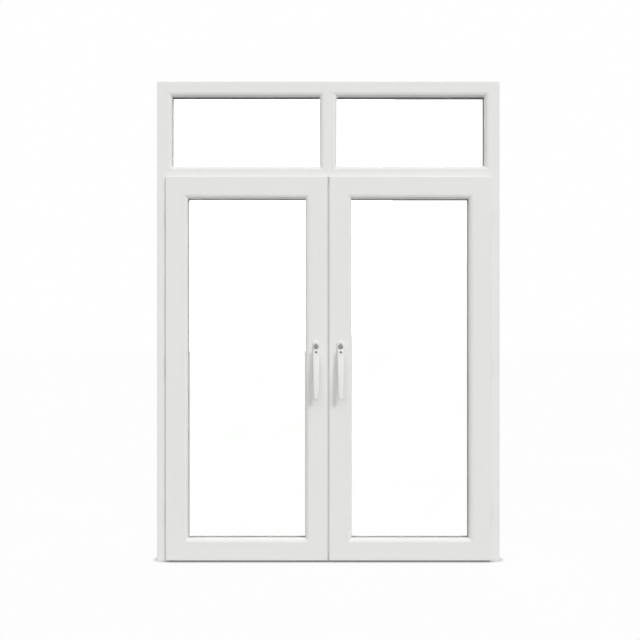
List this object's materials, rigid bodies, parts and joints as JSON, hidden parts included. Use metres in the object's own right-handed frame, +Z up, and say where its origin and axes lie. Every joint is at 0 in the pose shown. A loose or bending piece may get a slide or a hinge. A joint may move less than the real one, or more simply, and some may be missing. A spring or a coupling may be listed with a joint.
{
  "type": "french doors",
  "caption": "Double-leaf glazed door in a fixed hollow-profile frame with a transom and top lights, lever handles that drive shoot bolts, and concealed hinges.",
  "frame": {"origin": "centre of the frame's bottom face, on the finished floor", "axes": "+Z up; the room side, which the leaves open into, faces -Y; X runs along the width"},
  "size_m": [1.715, 0.1449, 2.4],
  "materials": {
    "upvc_white": "smooth white extruded uPVC, satin to gloss",
    "handle_white": "white powder-coated cast aluminium",
    "dark_metal": "dark grey coated steel",
    "glass": "clear float glass",
    "epdm_seal": "grey extruded EPDM",
    "spacer_aluminium": "mill-finish aluminium",
    "aluminium_threshold": "satin anodised aluminium",
    "galvanised_steel": "galvanised sheet steel",
    "zinc_steel": "zinc-plated steel",
    "packer_plastic": "moulded polypropylene"
  },
  "bodies": {
    "frame": {"frame_head": "upvc_white", "frame_jamb_left": "upvc_white", "frame_jamb_right": "upvc_white", "transom": "upvc_white", "mullion": "upvc_white", "threshold": "aluminium_threshold", "frame_reinforcements": "galvanised_steel", "frame_seal": "epdm_seal", "toplight_panes": "glass", "toplight_spacers": "spacer_aluminium", "toplight_beads": "upvc_white", "toplight_gaskets": "epdm_seal", "toplight_packers": "packer_plastic", "bolt_keeps": "zinc_steel", "hinge_brackets": "zinc_steel", "hinge_pins": "zinc_steel"},
    "left_leaf": {"left_hinge_stile": "upvc_white", "left_lock_stile": "upvc_white", "left_top_rail": "upvc_white", "left_bottom_rail": "upvc_white", "left_reinforcements": "galvanised_steel", "left_meeting_profile": "upvc_white", "left_inner_pane": "glass", "left_outer_pane": "glass", "left_spacer": "spacer_aluminium", "left_beads": "upvc_white", "left_glazing_gaskets": "epdm_seal", "left_packers": "packer_plastic", "left_leaf_seal": "epdm_seal", "left_hinge_flaps": "zinc_steel", "left_gearbox": "zinc_steel", "left_handle_rose": "handle_white"},
    "left_handle": {"left_handle_lever": "handle_white", "left_spindle": "dark_metal", "left_pinion": "zinc_steel"},
    "left_top_bolt": {"left_top_rod": "zinc_steel"},
    "left_bottom_bolt": {"left_bottom_rod": "zinc_steel"},
    "left_lock": {"left_lock_turn": "dark_metal"},
    "right_leaf": {"right_hinge_stile": "upvc_white", "right_lock_stile": "upvc_white", "right_top_rail": "upvc_white", "right_bottom_rail": "upvc_white", "right_reinforcements": "galvanised_steel", "right_meeting_profile": "upvc_white", "right_inner_pane": "glass", "right_outer_pane": "glass", "right_spacer": "spacer_aluminium", "right_beads": "upvc_white", "right_glazing_gaskets": "epdm_seal", "right_packers": "packer_plastic", "right_leaf_seal": "epdm_seal", "right_hinge_flaps": "zinc_steel", "right_gearbox": "zinc_steel", "right_handle_rose": "handle_white"},
    "right_handle": {"right_handle_lever": "handle_white", "right_spindle": "dark_metal", "right_pinion": "zinc_steel"},
    "right_top_bolt": {"right_top_rod": "zinc_steel"},
    "right_bottom_bolt": {"right_bottom_rod": "zinc_steel"},
    "right_lock": {"right_lock_turn": "dark_metal"}
  },
  "joints": [
    {"name": "left_leaf_swing", "type": "hinge", "parent": "frame", "child": "left_leaf", "pos_m": [-0.8065, -0.045, 0.9635], "axis": [0, 0, -1], "range_deg": [0, 95]},
    {"name": "left_handle_turn", "type": "hinge", "parent": "left_leaf", "child": "left_handle", "pos_m": [-0.061, -0.054, 1.046], "axis": [0, 1, 0], "range_deg": [0, 90]},
    {"name": "left_top_bolt_slide", "type": "slide", "parent": "left_leaf", "child": "left_top_bolt", "axis": [0, 0, 1], "range_m": [0, 0.01886]},
    {"name": "left_bottom_bolt_slide", "type": "slide", "parent": "left_leaf", "child": "left_bottom_bolt", "axis": [0, 0, -1], "range_m": [0, 0.01886]},
    {"name": "left_lock_turn_joint", "type": "hinge", "parent": "left_leaf", "child": "left_lock", "pos_m": [-0.061, -0.066, 1.074], "axis": [0, 1, 0], "range_deg": [0, 90]},
    {"name": "right_leaf_swing", "type": "hinge", "parent": "frame", "child": "right_leaf", "pos_m": [0.8065, -0.045, 0.9635], "axis": [0, 0, 1], "range_deg": [0, 95]},
    {"name": "right_handle_turn", "type": "hinge", "parent": "right_leaf", "child": "right_handle", "pos_m": [0.061, -0.054, 1.046], "axis": [0, -1, 0], "range_deg": [0, 90]},
    {"name": "right_top_bolt_slide", "type": "slide", "parent": "right_leaf", "child": "right_top_bolt", "axis": [0, 0, 1], "range_m": [0, 0.01886]},
    {"name": "right_bottom_bolt_slide", "type": "slide", "parent": "right_leaf", "child": "right_bottom_bolt", "axis": [0, 0, -1], "range_m": [0, 0.01886]},
    {"name": "right_lock_turn_joint", "type": "hinge", "parent": "right_leaf", "child": "right_lock", "pos_m": [0.061, -0.066, 1.074], "axis": [0, -1, 0], "range_deg": [0, 90]}
  ],
  "couplings": [
    {"joint": "left_top_bolt_slide", "follows": "left_handle_turn", "m_per_rad": 0.012},
    {"joint": "left_bottom_bolt_slide", "follows": "left_handle_turn", "m_per_rad": 0.012},
    {"joint": "right_top_bolt_slide", "follows": "right_handle_turn", "m_per_rad": 0.012},
    {"joint": "right_bottom_bolt_slide", "follows": "right_handle_turn", "m_per_rad": 0.012}
  ]
}
